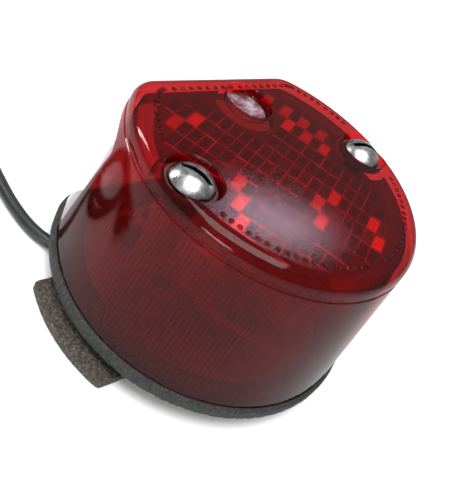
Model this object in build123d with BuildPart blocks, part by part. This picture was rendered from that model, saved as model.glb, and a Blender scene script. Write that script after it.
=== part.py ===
# Round motorcycle tail light with a flat lower side, lying on its back.
# +Z points out of the face, -Y towards the flat side with the clear plate window,
# and the origin is on the drum's axis at the back face of the mounting bar.
from build123d import *
import math
import os

os.makedirs("parts", exist_ok=True)

# ---- driving dimensions, millimetres ----

# lens
lens_radius = 40.0          # outside, at the base of the wall
lens_height = 40.8          # base of the wall to the face
lens_draft = 5.7            # degrees, wall leaning in towards the face
lens_wall = 2.2
face_thickness = 2.6
flat_distance = 31.8        # axis to the flat side, at the base
corner_radius = 12.0        # between the round wall and the flat
shoulder_radius = 3.4       # wall to face
window_half_width = 33.0
window_height = 34.0
window_corner = 5.0
recess_radius = 6.3
recess_depth = 2.6
blind_recess_x = -3.0
blind_recess_y = -18.5
blind_recess_radius = 6.0
blind_recess_depth = 2.2
boss_wall = 1.8             # wall around and under a recess
boss_length = 4.6           # screw boss below the face

# reflex plate under the face
reflex_radius = 30.0
reflex_flat = 24.5
reflex_thickness = 2.4
reflex_gap = 0.5

# mounting bar, pad, plate and gasket
bar_thickness = 2.2
bar_half_width = 14.8
bar_overhang = 4.0          # bar end beyond the lens radius
bar_corner = 1.5
bar_chamfer = 0.4
pad_thickness = 2.8
pad_inset = 1.3             # pad edge inside the bar's edge
pad_end_inset = 3.0         # pad end inside the lens radius
plate_thickness = 1.5
plate_inset = 1.8           # plate edge inside the lens radius
gasket_lip = 1.0            # gasket outside the lens wall
gasket_shelf = 1.9          # gasket between the plate and the lens
gasket_inner_inset = 6.5
fixing_y = 1.5              # line of the screws and of the bar

# screws and posts
screw_inset = 11.0          # screw axis inside the lens radius
screw_radius = 2.0
screw_length = 17.0
head_radius = 5.1
head_height = 3.2
head_edge = 0.6             # height of the head's rim
screw_point = 0.6           # chamfer at the screw's end
slot_width = 1.3
slot_depth = 1.3
slot_angles = {"left": 150.0, "right": 117.0}
washer_radius = 5.7
washer_thickness = 0.8
post_radius = 3.8
post_bore_depth = 15.0
spigot_radius = 2.5
thread_drill_radius = 2.5   # M6 tapping size
bolt_hole_radius = 3.3
nut_across_flats = 10.0
nut_height = 5.0
nut_gap = 1.4               # nut corner to post

# bulb and holder, along Y
globe_radius = 12.5
globe_gap = 5.0             # plate to globe
globe_front_gap = 6.6       # globe to the window's inside
globe_wall = 0.7
neck_gap = 0.22             # glass neck to the cap's inside
neck_length = 17.5          # globe centre to the end of the neck
cap_radius = 7.62
cap_wall = 0.5
cap_length = 15.0
cap_overlap = 2.0           # neck inside the cap
pin_radius = 1.0
pin_stub = 1.08             # bayonet pin beyond the cap
pin_from_mouth = 7.6        # pins behind the cap's front edge
tip_radius = 2.3
tip_height = 1.8
vitrite_inset = 1.02        # insulator inside the cap's edge
vitrite_thickness = 0.8
stem_radius = 1.2           # half thickness of the glass pinch
stem_gap = 7.0              # stem's end to the filament
support_radius = 0.35
support_spread = 3.0
filament_radius = 0.45
holder_wall = 0.7
holder_lead = 2.0           # holder mouth behind the cap's front edge
contact_chamber = 4.0       # cap tip to the insulator
insulator_thickness = 2.5
hook_angle = 30.0
bulb_travel = 1.0
leaf_thickness = 0.4
leaf_width = 5.0
leaf_arm = 6.0              # leaf root to the bulb's axis
leaf_gap = 0.12
leaf_heel = 0.8             # leaf below its root
leaf_toe = 2.0              # leaf beyond the bulb's axis
terminal_radius = 1.0
terminal_tail = 4.5
bracket_thickness = 1.2
bracket_rim = 2.13          # bracket around the holder
bracket_behind_slot = 1.8
bracket_foot = 15.0
rivet_radius = 1.5
rivet_head_radius = 2.6
rivet_head_height = 1.0
rivet_side_inset = 3.9
rivet_foot_inset = 5.72

# leads
wire_radius = 0.8
wire_tuck = 2.3             # live wire inside the holder's side, behind it
cable_radius = 1.6
floor_gap = 0.05
grommet_x = 13.5
grommet_y = -17.2
grommet_flange_radius = 5.0
grommet_neck_radius = 3.5
grommet_lower_flange = 1.2
grommet_upper_flange = 1.6
grommet_cone = 2.4
grommet_taper = 20
outlet_length = 5.5
outlet_width = 5.2
outlet_height = 3.6
earth_x = 1.5
earth_y = -21.0
earth_screw_radius = 1.6
earth_head_radius = 3.4
earth_head_height = 2.2
tag_thickness = 0.6
tag_length = 4.0
tag_rim = 0.4
coil_x = 54.0
coil_y = -62.0
coil_inner_radius = 14.3
coil_outer_radius = 20.9
coil_height = 6.0
plug_length = 18.0
plug_width = 8.0
plug_height = 6.0
plug_gap = 13.8             # coil's middle to the plug's end
plug_edge = 1.0
plug_pin_radius = 0.9
pin_length = 5.0

running_clearance = 0.05    # radial, shaft in bore
screw_hole_gap = 0.3        # radial, screw in the lens and its washer
pin_slot_gap = 0.15         # bayonet pin in its slot
washer_head_gap = 0.1       # washer to screw head
seat_gap = 0.2              # between bodies that lift apart

# ---- levels and places worked out from them ----
bar_top = bar_thickness
plate_bottom = bar_top + pad_thickness
plate_top = plate_bottom + plate_thickness
lens_base = plate_top + gasket_shelf
face_z = lens_base + lens_height
face_under = face_z - face_thickness
boss_bottom = face_under - boss_length
recess_floor = face_z - recess_depth
screw_x = lens_radius - screw_inset
nut_corner = nut_across_flats / math.sqrt(3)
thread_x = screw_x - post_radius - nut_corner - nut_gap
post_top = boss_bottom - seat_gap

bulb_z = plate_top + globe_gap + globe_radius
globe_y = globe_radius + globe_front_gap + lens_wall - flat_distance
neck_radius = cap_radius - cap_wall - neck_gap
neck_end = globe_y + neck_length
cap_front = neck_end - cap_overlap
cap_back = cap_front + cap_length
pin_y = cap_front + pin_from_mouth
pin_reach = cap_radius + pin_stub
vitrite_radius = cap_radius - vitrite_inset
tip_y = cap_back + tip_height
bulb_axis = Axis((0, 0, bulb_z), (0, 1, 0))
holder_front = cap_front + holder_lead
holder_inner = cap_radius + running_clearance
holder_outer = holder_inner + holder_wall
insulator_front = tip_y + contact_chamber
holder_back = insulator_front + insulator_thickness
leaf_front = tip_y + leaf_gap
leaf_root_z = bulb_z - leaf_arm
bracket_y = pin_y + pin_radius + bulb_travel + bracket_behind_slot
bracket_half_width = holder_outer + bracket_rim
side_screws = {"left": -screw_x, "right": screw_x}


def drum_outline(inset):
    """Plan of the drum, a circle with one flat, drawn in by inset."""
    with BuildSketch() as outline:
        Circle(lens_radius - inset)
        with Locations((0, -flat_distance + inset)):
            Rectangle(3 * lens_radius, lens_radius, align=(Align.CENTER, Align.MAX), mode=Mode.SUBTRACT)
        fillet(outline.vertices(), corner_radius - inset)
    return outline.sketch


def bar_outline(half_width, end_radius):
    """Plan of a bar along X whose ends follow a circle about the drum's axis."""
    with BuildSketch() as outline:
        with Locations((0, fixing_y)):
            Rectangle(3 * end_radius, 2 * half_width)
        Circle(end_radius, mode=Mode.INTERSECT)
        fillet(outline.vertices(), bar_corner)
    return outline.sketch


def side_plane(angle=0.0):
    """Plane through the bulb's axis: local x along the axis, local y outwards at angle."""
    tilt = math.radians(angle)
    return Plane(origin=(0, 0, bulb_z), x_dir=(0, 1, 0), z_dir=(math.cos(tilt), 0, math.sin(tilt)))


def cross_plane(y):
    """Plane square to the bulb's axis, facing +Y."""
    return Plane(origin=(0, y, bulb_z), x_dir=(1, 0, 0), z_dir=(0, 1, 0))


def dome_radius(rim_radius, height):
    """Radius of the ball whose cap has this rim and height."""
    return (rim_radius**2 + height**2) / (2 * height)


def bend_radii(points):
    """Largest even radius that the runs beside each corner of a route allow."""
    radii = []
    for before, corner, after in zip(points, points[1:], points[2:]):
        incoming = Vector(*corner) - Vector(*before)
        outgoing = Vector(*after) - Vector(*corner)
        half_turn = math.radians(incoming.get_angle(outgoing)) / 2
        radii.append(0.45 * min(incoming.length, outgoing.length) / math.tan(half_turn))
    return radii


def start_plane(points):
    """Plane square to the first run of a route."""
    return Plane(origin=points[0], z_dir=Vector(*points[1]) - Vector(*points[0]))


# ---- lens, window and reflex plate ----
with BuildPart() as window_space:
    with BuildSketch(Plane.XZ.offset(recess_radius + boss_wall)):
        with Locations((0, lens_base)):
            RectangleRounded(2 * window_half_width, 2 * window_height, window_corner)
    extrude(amount=lens_radius)

with BuildPart() as cavity:
    with BuildSketch(Plane.XY.offset(lens_base)):
        add(drum_outline(lens_wall))
    extrude(amount=lens_height - face_thickness, taper=lens_draft)
    with BuildSketch(Plane.XY.offset(boss_bottom)):
        with Locations(*[(x, fixing_y) for x in side_screws.values()]):
            Circle(recess_radius + boss_wall)
    extrude(amount=boss_length, mode=Mode.SUBTRACT)
    with BuildSketch(Plane.XY.offset(face_under - boss_wall)):
        with Locations((blind_recess_x, blind_recess_y)):
            Circle(blind_recess_radius + boss_wall)
    extrude(amount=boss_wall, mode=Mode.SUBTRACT)

with BuildPart() as drum:
    with BuildSketch(Plane.XY.offset(lens_base)):
        add(drum_outline(0))
    extrude(amount=lens_height, taper=lens_draft)
    fillet(drum.faces().sort_by(Axis.Z)[-1].edges(), shoulder_radius)
    add(cavity.part, mode=Mode.SUBTRACT)

with BuildPart() as lens:
    add(drum.part)
    add(window_space.part, mode=Mode.SUBTRACT)
    with BuildSketch(Plane.XY.offset(face_z)):
        with Locations(*[(x, fixing_y) for x in side_screws.values()]):
            Circle(recess_radius)
    extrude(amount=-recess_depth, mode=Mode.SUBTRACT)
    with BuildSketch(Plane.XY.offset(face_z)):
        with Locations((blind_recess_x, blind_recess_y)):
            Circle(blind_recess_radius)
    extrude(amount=-blind_recess_depth, mode=Mode.SUBTRACT)
    with BuildSketch(Plane.XY.offset(recess_floor)):
        with Locations(*[(x, fixing_y) for x in side_screws.values()]):
            Circle(screw_radius + screw_hole_gap)
    extrude(amount=-lens_height, mode=Mode.SUBTRACT)
lens.part.label = "lens"
export_step(lens.part, "parts/lens.step")

with BuildPart() as plate_window:
    add(drum.part)
    add(window_space.part, mode=Mode.INTERSECT)
plate_window.part.label = "plate_window"
export_step(plate_window.part, "parts/plate_window.step")

with BuildPart() as reflex_reflector:
    with BuildSketch(Plane.XY.offset(face_under)):
        Circle(reflex_radius)
        with Locations((0, -reflex_flat)):
            Rectangle(3 * reflex_radius, reflex_radius, align=(Align.CENTER, Align.MAX), mode=Mode.SUBTRACT)
        with Locations(*[(x, fixing_y) for x in side_screws.values()]):
            Circle(recess_radius + boss_wall + reflex_gap, mode=Mode.SUBTRACT)
        with Locations((blind_recess_x, blind_recess_y)):
            Circle(blind_recess_radius + boss_wall + reflex_gap, mode=Mode.SUBTRACT)
    extrude(amount=-reflex_thickness)
reflex_reflector.part.label = "reflex_reflector"
export_step(reflex_reflector.part, "parts/reflex_reflector.step")

# ---- lens screws and their washers ----
head_z = recess_floor + washer_thickness
head_ball = dome_radius(head_radius, head_height - head_edge)
for side, x in side_screws.items():
    slot_turn = math.radians(slot_angles[side])
    slot_direction = (math.cos(slot_turn), math.sin(slot_turn), 0)
    with BuildPart() as lens_screw:
        with BuildSketch(Plane.XY.offset(head_z)):
            with Locations((x, fixing_y)):
                Circle(head_radius)
        extrude(amount=head_height)
        with Locations((x, fixing_y, head_z + head_height - head_ball)):
            Sphere(head_ball, mode=Mode.INTERSECT)
        with BuildSketch(Plane((x, fixing_y, head_z + head_height), x_dir=slot_direction, z_dir=(0, 0, 1))):
            Rectangle(3 * head_radius, slot_width)
        extrude(amount=-slot_depth, mode=Mode.SUBTRACT)
        with BuildSketch(Plane.XY.offset(head_z)):
            with Locations((x, fixing_y)):
                Circle(screw_radius)
        extrude(amount=-screw_length)
        chamfer(lens_screw.faces().sort_by(Axis.Z)[0].edges(), screw_point)
    lens_screw.part.label = "lens_screw_" + side
    export_step(lens_screw.part, f"parts/lens_screw_{side}.step")

with BuildPart() as screw_washers:
    with BuildSketch(Plane.XY.offset(recess_floor)):
        with Locations(*[(x, fixing_y) for x in side_screws.values()]):
            Circle(washer_radius)
            Circle(screw_radius + screw_hole_gap, mode=Mode.SUBTRACT)
    extrude(amount=washer_thickness - washer_head_gap)
screw_washers.part.label = "screw_washers"
export_step(screw_washers.part, "parts/screw_washers.step")

# ---- mounting bar, pad, base plate and gasket ----
with BuildPart() as mounting_bar:
    with BuildSketch():
        add(bar_outline(bar_half_width, lens_radius + bar_overhang))
        with Locations((-thread_x, fixing_y), (thread_x, fixing_y)):
            Circle(bolt_hole_radius, mode=Mode.SUBTRACT)
    extrude(amount=bar_thickness)
    chamfer(mounting_bar.faces().sort_by(Axis.Z)[-1].outer_wire().edges(), bar_chamfer)
mounting_bar.part.label = "mounting_bar"
export_step(mounting_bar.part, "parts/mounting_bar.step")

with BuildPart() as mounting_pad:
    with BuildSketch(Plane.XY.offset(bar_top)):
        add(bar_outline(bar_half_width - pad_inset, lens_radius - pad_end_inset))
        with Locations((-thread_x, fixing_y), (thread_x, fixing_y)):
            Circle(bolt_hole_radius, mode=Mode.SUBTRACT)
    extrude(amount=pad_thickness)
mounting_pad.part.label = "mounting_pad"
export_step(mounting_pad.part, "parts/mounting_pad.step")

rivet_y = bracket_y - bracket_foot + rivet_foot_inset
rivet_x = bracket_half_width - rivet_side_inset
with BuildPart() as base_plate:
    with BuildSketch(Plane.XY.offset(plate_bottom)):
        add(drum_outline(plate_inset))
        with Locations(*[(x, fixing_y) for x in side_screws.values()]):
            Circle(spigot_radius, mode=Mode.SUBTRACT)
        with Locations((-thread_x, fixing_y), (thread_x, fixing_y)):
            Circle(bolt_hole_radius, mode=Mode.SUBTRACT)
        with Locations((-rivet_x, rivet_y), (rivet_x, rivet_y)):
            Circle(rivet_radius, mode=Mode.SUBTRACT)
        with Locations((grommet_x, grommet_y)):
            Circle(grommet_neck_radius, mode=Mode.SUBTRACT)
        with Locations((earth_x, earth_y)):
            Circle(earth_screw_radius, mode=Mode.SUBTRACT)
    extrude(amount=plate_thickness)
base_plate.part.label = "base_plate"
export_step(base_plate.part, "parts/base_plate.step")

with BuildPart() as lens_gasket:
    with BuildSketch(Plane.XY.offset(plate_bottom)):
        add(drum_outline(-gasket_lip))
        add(drum_outline(gasket_inner_inset), mode=Mode.SUBTRACT)
    extrude(amount=plate_thickness + gasket_shelf)
    with BuildSketch(Plane.XY.offset(plate_bottom)):
        add(drum_outline(plate_inset))
    extrude(amount=plate_thickness, mode=Mode.SUBTRACT)
lens_gasket.part.label = "lens_gasket"
export_step(lens_gasket.part, "parts/lens_gasket.step")

with BuildPart() as screw_posts:
    with BuildSketch(Plane.XY.offset(plate_bottom)):
        with Locations(*[(x, fixing_y) for x in side_screws.values()]):
            Circle(spigot_radius)
    extrude(amount=plate_thickness)
    with BuildSketch(Plane.XY.offset(plate_top)):
        with Locations(*[(x, fixing_y) for x in side_screws.values()]):
            Circle(post_radius)
    extrude(amount=post_top - plate_top)
    with BuildSketch(Plane.XY.offset(post_top)):
        with Locations(*[(x, fixing_y) for x in side_screws.values()]):
            Circle(screw_radius + running_clearance)
    extrude(amount=-post_bore_depth, mode=Mode.SUBTRACT)
screw_posts.part.label = "screw_posts"
export_step(screw_posts.part, "parts/screw_posts.step")

with BuildPart() as mount_nuts:
    with BuildSketch(Plane.XY.offset(plate_top)):
        with Locations((-thread_x, fixing_y), (thread_x, fixing_y)):
            RegularPolygon(nut_corner, 6)
            Circle(thread_drill_radius, mode=Mode.SUBTRACT)
    extrude(amount=nut_height)
mount_nuts.part.label = "mount_nuts"
export_step(mount_nuts.part, "parts/mount_nuts.step")

# ---- bulb ----
with BuildPart() as bulb_glass:
    with Locations((0, globe_y, bulb_z)):
        Sphere(globe_radius)
    with BuildSketch(cross_plane(globe_y)):
        Circle(neck_radius)
    extrude(amount=neck_length)
    with Locations((0, globe_y, bulb_z)):
        Sphere(globe_radius - globe_wall, mode=Mode.SUBTRACT)
    with BuildSketch(cross_plane(globe_y)):
        Circle(neck_radius - globe_wall)
    extrude(amount=neck_length, mode=Mode.SUBTRACT)
bulb_glass.part.label = "bulb_glass"
export_step(bulb_glass.part, "parts/bulb_glass.step")

with BuildPart() as bulb_cap:
    with BuildSketch(cross_plane(cap_front)):
        Circle(cap_radius)
    extrude(amount=cap_length)
    with BuildSketch(Plane(origin=(0, pin_y, bulb_z), x_dir=(0, 1, 0), z_dir=(1, 0, 0))):
        Circle(pin_radius)
    extrude(amount=pin_reach, both=True)
    with BuildSketch(cross_plane(cap_front)):
        Circle(cap_radius - cap_wall)
    extrude(amount=cap_length - cap_wall, mode=Mode.SUBTRACT)
bulb_cap.part.label = "bulb_cap"
export_step(bulb_cap.part, "parts/bulb_cap.step")

with BuildPart() as bulb_insulator:
    with BuildSketch(cross_plane(cap_back)):
        Circle(vitrite_radius)
        Circle(tip_radius, mode=Mode.SUBTRACT)
    extrude(amount=vitrite_thickness)
bulb_insulator.part.label = "bulb_insulator"
export_step(bulb_insulator.part, "parts/bulb_insulator.step")

with BuildPart() as bulb_contact:
    with BuildSketch(cross_plane(cap_back)):
        Circle(tip_radius)
    extrude(amount=tip_height)
    tip_ball = dome_radius(tip_radius, tip_height - vitrite_thickness)
    with Locations((0, tip_y - tip_ball, bulb_z)):
        Sphere(tip_ball, mode=Mode.INTERSECT)
bulb_contact.part.label = "bulb_contact"
export_step(bulb_contact.part, "parts/bulb_contact.step")

with BuildPart() as filament_mount:
    with BuildSketch(cross_plane(cap_front)):
        Rectangle(2 * (support_spread + 2 * support_radius), 2 * stem_radius)
    extrude(amount=-(cap_front - globe_y - stem_gap))
    with BuildSketch(cross_plane(globe_y + stem_gap)):
        with Locations((-support_spread, 0), (support_spread, 0)):
            Circle(support_radius)
    extrude(amount=-stem_gap)
    with BuildSketch(Plane(origin=(0, globe_y, bulb_z), x_dir=(0, 1, 0), z_dir=(1, 0, 0))):
        Circle(filament_radius)
    extrude(amount=support_spread + support_radius, both=True)
filament_mount.part.label = "filament_mount"
export_step(filament_mount.part, "parts/filament_mount.step")

# ---- bulb holder on its bracket, with the contact ----
slot_half = pin_radius + pin_slot_gap
slot_end = pin_y + bulb_travel + slot_half
with BuildPart() as bulb_holder:
    with BuildSketch(cross_plane(holder_front)):
        Circle(holder_outer)
        Circle(holder_inner, mode=Mode.SUBTRACT)
    extrude(amount=holder_back - holder_front)
    for pin_angle in (0.0, 180.0):
        with BuildSketch(side_plane(pin_angle)):
            with Locations(((pin_y - slot_half + slot_end) / 2, 0)):
                Rectangle(slot_end - pin_y + slot_half, 2 * slot_half)
        extrude(amount=2 * holder_outer, mode=Mode.SUBTRACT)
        with BuildSketch(side_plane(pin_angle - hook_angle)):
            with Locations(((holder_front + slot_end) / 2, 0)):
                Rectangle(slot_end - holder_front, 2 * slot_half)
        extrude(amount=2 * holder_outer, mode=Mode.SUBTRACT)
        with BuildSketch(side_plane(pin_angle - 90)):
            with Locations((slot_end - slot_half, holder_outer)):
                Rectangle(2 * slot_half, 2 * holder_wall + 1)
        revolve(axis=bulb_axis, revolution_arc=hook_angle, mode=Mode.SUBTRACT)
bulb_holder.part.label = "bulb_holder"
export_step(bulb_holder.part, "parts/bulb_holder.step")

terminal_z = leaf_root_z + 0.6 * terminal_radius
with BuildPart() as holder_insulator:
    with BuildSketch(cross_plane(insulator_front)):
        Circle(holder_inner)
        with Locations((0, bulb_z - terminal_z)):
            Circle(terminal_radius, mode=Mode.SUBTRACT)
    extrude(amount=insulator_thickness)
holder_insulator.part.label = "holder_insulator"
export_step(holder_insulator.part, "parts/holder_insulator.step")

with BuildPart() as contact_leaf:
    with BuildSketch(cross_plane(leaf_front)):
        with Locations((0, bulb_z - leaf_root_z + leaf_heel)):
            Rectangle(leaf_width, leaf_arm + leaf_heel + leaf_toe, align=(Align.CENTER, Align.MAX))
    extrude(amount=leaf_thickness)
contact_leaf.part.label = "contact_leaf"
export_step(contact_leaf.part, "parts/contact_leaf.step")

terminal_front = leaf_front + 2 * leaf_thickness
with BuildPart() as contact_terminal:
    with BuildSketch(cross_plane(terminal_front)):
        with Locations((0, bulb_z - terminal_z)):
            Circle(terminal_radius)
    extrude(amount=holder_back + terminal_tail - terminal_front)
contact_terminal.part.label = "contact_terminal"
export_step(contact_terminal.part, "parts/contact_terminal.step")

with BuildPart() as holder_bracket:
    with BuildSketch(cross_plane(bracket_y)):
        Circle(bracket_half_width)
        Rectangle(2 * bracket_half_width, bulb_z - plate_top, align=(Align.CENTER, Align.MIN))
        Circle(holder_outer, mode=Mode.SUBTRACT)
    extrude(amount=bracket_thickness)
    with BuildSketch(Plane.XY.offset(plate_top)):
        with Locations((0, bracket_y + bracket_thickness)):
            Rectangle(2 * bracket_half_width, bracket_foot, align=(Align.CENTER, Align.MAX))
        with Locations((-rivet_x, rivet_y), (rivet_x, rivet_y)):
            Circle(rivet_radius, mode=Mode.SUBTRACT)
    extrude(amount=bracket_thickness)
holder_bracket.part.label = "holder_bracket"
export_step(holder_bracket.part, "parts/holder_bracket.step")

with BuildPart() as bracket_rivets:
    with BuildSketch(Plane.XY.offset(plate_bottom)):
        with Locations((-rivet_x, rivet_y), (rivet_x, rivet_y)):
            Circle(rivet_radius)
    extrude(amount=plate_thickness + bracket_thickness)
    with BuildSketch(Plane.XY.offset(plate_top + bracket_thickness)):
        with Locations((-rivet_x, rivet_y), (rivet_x, rivet_y)):
            Circle(rivet_head_radius)
    extrude(amount=rivet_head_height)
    fillet(bracket_rivets.faces().group_by(Axis.Z)[-1].edges(), 0.7 * rivet_head_height)
bracket_rivets.part.label = "bracket_rivets"
export_step(bracket_rivets.part, "parts/bracket_rivets.step")

# ---- earth screw, tag and leads inside the drum ----
with BuildPart() as earth_screw:
    with BuildSketch(Plane.XY.offset(plate_bottom)):
        with Locations((earth_x, earth_y)):
            Circle(earth_screw_radius)
    extrude(amount=plate_thickness + tag_thickness)
    with BuildSketch(Plane.XY.offset(plate_top + tag_thickness)):
        with Locations((earth_x, earth_y)):
            Circle(earth_head_radius)
    extrude(amount=earth_head_height)
    fillet(earth_screw.faces().sort_by(Axis.Z)[-1].edges(), 0.4 * earth_head_height)
    with BuildSketch(Plane.XY.offset(plate_top + tag_thickness + earth_head_height)):
        with Locations((earth_x, earth_y)):
            Rectangle(3 * earth_head_radius, 0.5 * earth_screw_radius)
    extrude(amount=-0.5 * earth_head_height, mode=Mode.SUBTRACT)
earth_screw.part.label = "earth_screw"
export_step(earth_screw.part, "parts/earth_screw.step")

with BuildPart() as earth_tag:
    with BuildSketch(Plane.XY.offset(plate_top)):
        with Locations((earth_x, earth_y)):
            Circle(earth_head_radius + tag_rim)
            Rectangle(tag_length + earth_head_radius, 3 * wire_radius, align=(Align.MIN, Align.CENTER))
            Circle(earth_screw_radius, mode=Mode.SUBTRACT)
    extrude(amount=tag_thickness)
earth_tag.part.label = "earth_tag"
export_step(earth_tag.part, "parts/earth_tag.step")

lead_z = plate_top + grommet_upper_flange + grommet_cone
tag_wire_x = earth_x + earth_head_radius + 0.5 * tag_length
earth_route = [
    (grommet_x - 1.0, grommet_y, lead_z - 0.3),
    (grommet_x - 1.4, grommet_y - 0.3, lead_z + 2.6),
    (grommet_x - 4.6, grommet_y - 2.4, lead_z + 1.4),
    (tag_wire_x, earth_y, plate_top + tag_thickness + 0.6 * wire_radius),
]
with BuildPart() as earth_wire:
    with BuildLine() as earth_line:
        FilletPolyline(*earth_route, radius=bend_radii(earth_route))
    with BuildSketch(start_plane(earth_route)):
        Circle(wire_radius)
    sweep(path=earth_line.line)
earth_wire.part.label = "earth_wire"
export_step(earth_wire.part, "parts/earth_wire.step")

wire_x = thread_x - 1.5
wire_z = plate_top + nut_height + 3.5
live_route = [
    (grommet_x + 1.0, grommet_y, lead_z - 0.3),
    (grommet_x + 1.3, grommet_y + 1.2, wire_z - 1.2),
    (wire_x - 0.5, grommet_y + 7.5, wire_z + 0.2),
    (wire_x, 3.0, wire_z),
    (wire_x - 1.0, bracket_y - 3.0, wire_z + 0.4),
    (bracket_half_width, holder_back - 3.0, terminal_z - 1.5),
    (holder_outer - wire_tuck, holder_back + terminal_tail - 1.6, terminal_z - 0.4),
    (0.5 * terminal_radius, holder_back + terminal_tail - 1.2, terminal_z),
]
with BuildPart() as live_wire:
    with BuildLine() as live_line:
        FilletPolyline(*live_route, radius=bend_radii(live_route))
    with BuildSketch(start_plane(live_route)):
        Circle(wire_radius)
    sweep(path=live_line.line)
live_wire.part.label = "live_wire"
export_step(live_wire.part, "parts/live_wire.step")

# ---- grommet with a side outlet under the plate ----
with BuildPart() as cable_grommet:
    with BuildSketch(Plane.XY.offset(floor_gap)):
        with Locations((grommet_x, grommet_y)):
            Circle(outlet_width / 2)
    extrude(amount=plate_bottom - floor_gap)
    with BuildSketch(Plane.XY.offset(plate_bottom)):
        with Locations((grommet_x, grommet_y)):
            Circle(grommet_flange_radius)
    extrude(amount=-grommet_lower_flange)
    with BuildSketch(Plane.XY.offset(plate_bottom)):
        with Locations((grommet_x, grommet_y)):
            Circle(grommet_neck_radius)
    extrude(amount=plate_thickness)
    with BuildSketch(Plane.XY.offset(plate_top)):
        with Locations((grommet_x, grommet_y)):
            Circle(grommet_flange_radius)
    extrude(amount=grommet_upper_flange)
    with BuildSketch(Plane.XY.offset(plate_top + grommet_upper_flange)):
        with Locations((grommet_x, grommet_y)):
            Circle(grommet_neck_radius)
    extrude(amount=grommet_cone, taper=grommet_taper)
    with BuildSketch(Plane(origin=(grommet_x, grommet_y, floor_gap), x_dir=(0, 1, 0), z_dir=(1, 0, 0))):
        Rectangle(outlet_width, outlet_height, align=(Align.CENTER, Align.MIN))
    extrude(amount=outlet_length)
cable_grommet.part.label = "cable_grommet"
export_step(cable_grommet.part, "parts/cable_grommet.step")

# ---- cable: free stretch, coil, tail and plug, all lying on the floor ----
cable_z = floor_gap + cable_radius
cable_route = [
    (18.5, -17.2, cable_z),
    (25.0, -17.6, cable_z),
    (30.2, -20.0, cable_z),
    (33.8, -24.6, cable_z),
    (35.6, -30.6, cable_z),
    (36.1, -38.0, cable_z),
    (36.0, -45.4, cable_z),
    (36.3, -52.6, cable_z),
]
print("cable radii", [round(radius, 1) for radius in bend_radii(cable_route)])
with BuildPart() as cable:
    with BuildLine() as cable_line:
        FilletPolyline(*cable_route, radius=bend_radii(cable_route))
    with BuildSketch(start_plane(cable_route)):
        Circle(cable_radius)
    sweep(path=cable_line.line)
cable_length = sum(edge.length for edge in cable_line.line.edges())
volume_length = cable.part.volume / (math.pi * cable_radius**2)
print("cable length", round(cable_length, 1), "volume over section", round(volume_length, 1))
cable.part.label = "cable"
export_step(cable.part, "parts/cable.step")

with BuildPart() as cable_coil:
    with BuildSketch():
        with Locations((coil_x, coil_y)):
            Circle(coil_outer_radius)
            Circle(coil_inner_radius, mode=Mode.SUBTRACT)
    extrude(amount=coil_height)
    fillet(cable_coil.faces().sort_by(Axis.Z)[-1].edges(), cable_radius)
cable_coil.part.label = "cable_coil"
export_step(cable_coil.part, "parts/cable_coil.step")

plug_x = coil_x + coil_outer_radius
plug_y = coil_y + plug_gap
tail_route = [
    (plug_x - 2.0, coil_y + 2.0, cable_z),
    (plug_x - 1.2, coil_y + 8.0, cable_z),
    (plug_x, plug_y + 0.5, cable_z),
]
with BuildPart() as cable_tail:
    with BuildLine() as tail_line:
        FilletPolyline(*tail_route, radius=bend_radii(tail_route))
    with BuildSketch(start_plane(tail_route)):
        Circle(cable_radius)
    sweep(path=tail_line.line)
cable_tail.part.label = "cable_tail"
export_step(cable_tail.part, "parts/cable_tail.step")

with BuildPart() as plug_body:
    with BuildSketch():
        with Locations((plug_x, plug_y)):
            Rectangle(plug_width, plug_length, align=(Align.CENTER, Align.MIN))
    extrude(amount=plug_height)
    fillet(plug_body.edges().filter_by(Axis.Y), plug_edge)
plug_body.part.label = "plug_body"
export_step(plug_body.part, "parts/plug_body.step")

with BuildPart() as plug_pins:
    pin_plane = Plane(origin=(plug_x, plug_y + plug_length, plug_height / 2), x_dir=(1, 0, 0), z_dir=(0, 1, 0))
    with BuildSketch(pin_plane):
        with Locations((-plug_width / 4, 0), (plug_width / 4, 0)):
            Circle(plug_pin_radius)
    extrude(amount=pin_length)
plug_pins.part.label = "plug_pins"
export_step(plug_pins.part, "parts/plug_pins.step")
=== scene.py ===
import math
import random

import bmesh
import bpy
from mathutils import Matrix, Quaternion, Vector
from mathutils import noise as field


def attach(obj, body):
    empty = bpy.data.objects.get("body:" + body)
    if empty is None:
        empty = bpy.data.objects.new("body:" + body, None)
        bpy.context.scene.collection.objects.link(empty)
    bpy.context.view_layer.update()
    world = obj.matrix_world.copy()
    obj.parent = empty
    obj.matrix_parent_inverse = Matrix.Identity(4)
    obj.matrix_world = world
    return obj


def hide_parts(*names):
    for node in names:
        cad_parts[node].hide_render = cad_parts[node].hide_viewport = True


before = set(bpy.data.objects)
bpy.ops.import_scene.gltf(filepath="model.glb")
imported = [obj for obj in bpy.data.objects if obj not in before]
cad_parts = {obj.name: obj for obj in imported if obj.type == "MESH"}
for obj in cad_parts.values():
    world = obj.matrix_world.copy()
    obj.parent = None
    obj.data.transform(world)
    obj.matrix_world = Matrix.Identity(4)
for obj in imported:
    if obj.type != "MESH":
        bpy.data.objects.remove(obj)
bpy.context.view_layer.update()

MM = 0.001
rng = random.Random(11)

# ---- driving sizes in mm, in the lamp's frame: +Z out of the face, -Y the flat side ----
R, FLAT, CORNER = 40.0, 31.8, 12.0
BASE, FACE = 8.4, 49.2
DRAFT = math.radians(5.7)
LEAN = math.tan(DRAFT)
SHOULDER = 3.4
WALL = 2.2
SCREW_X, FIXING_Y = 29.0, 1.5
BLIND = (-3.0, -18.5)
RECESS_R, BLIND_R = 6.3, 6.0
BOSS_WALL = 1.8
REFLEX_GAP = 0.5
REFLEX_R, REFLEX_FLAT = 30.0, 24.5
REFLEX_LOW, REFLEX_HIGH = 44.25, 45.9

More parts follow.
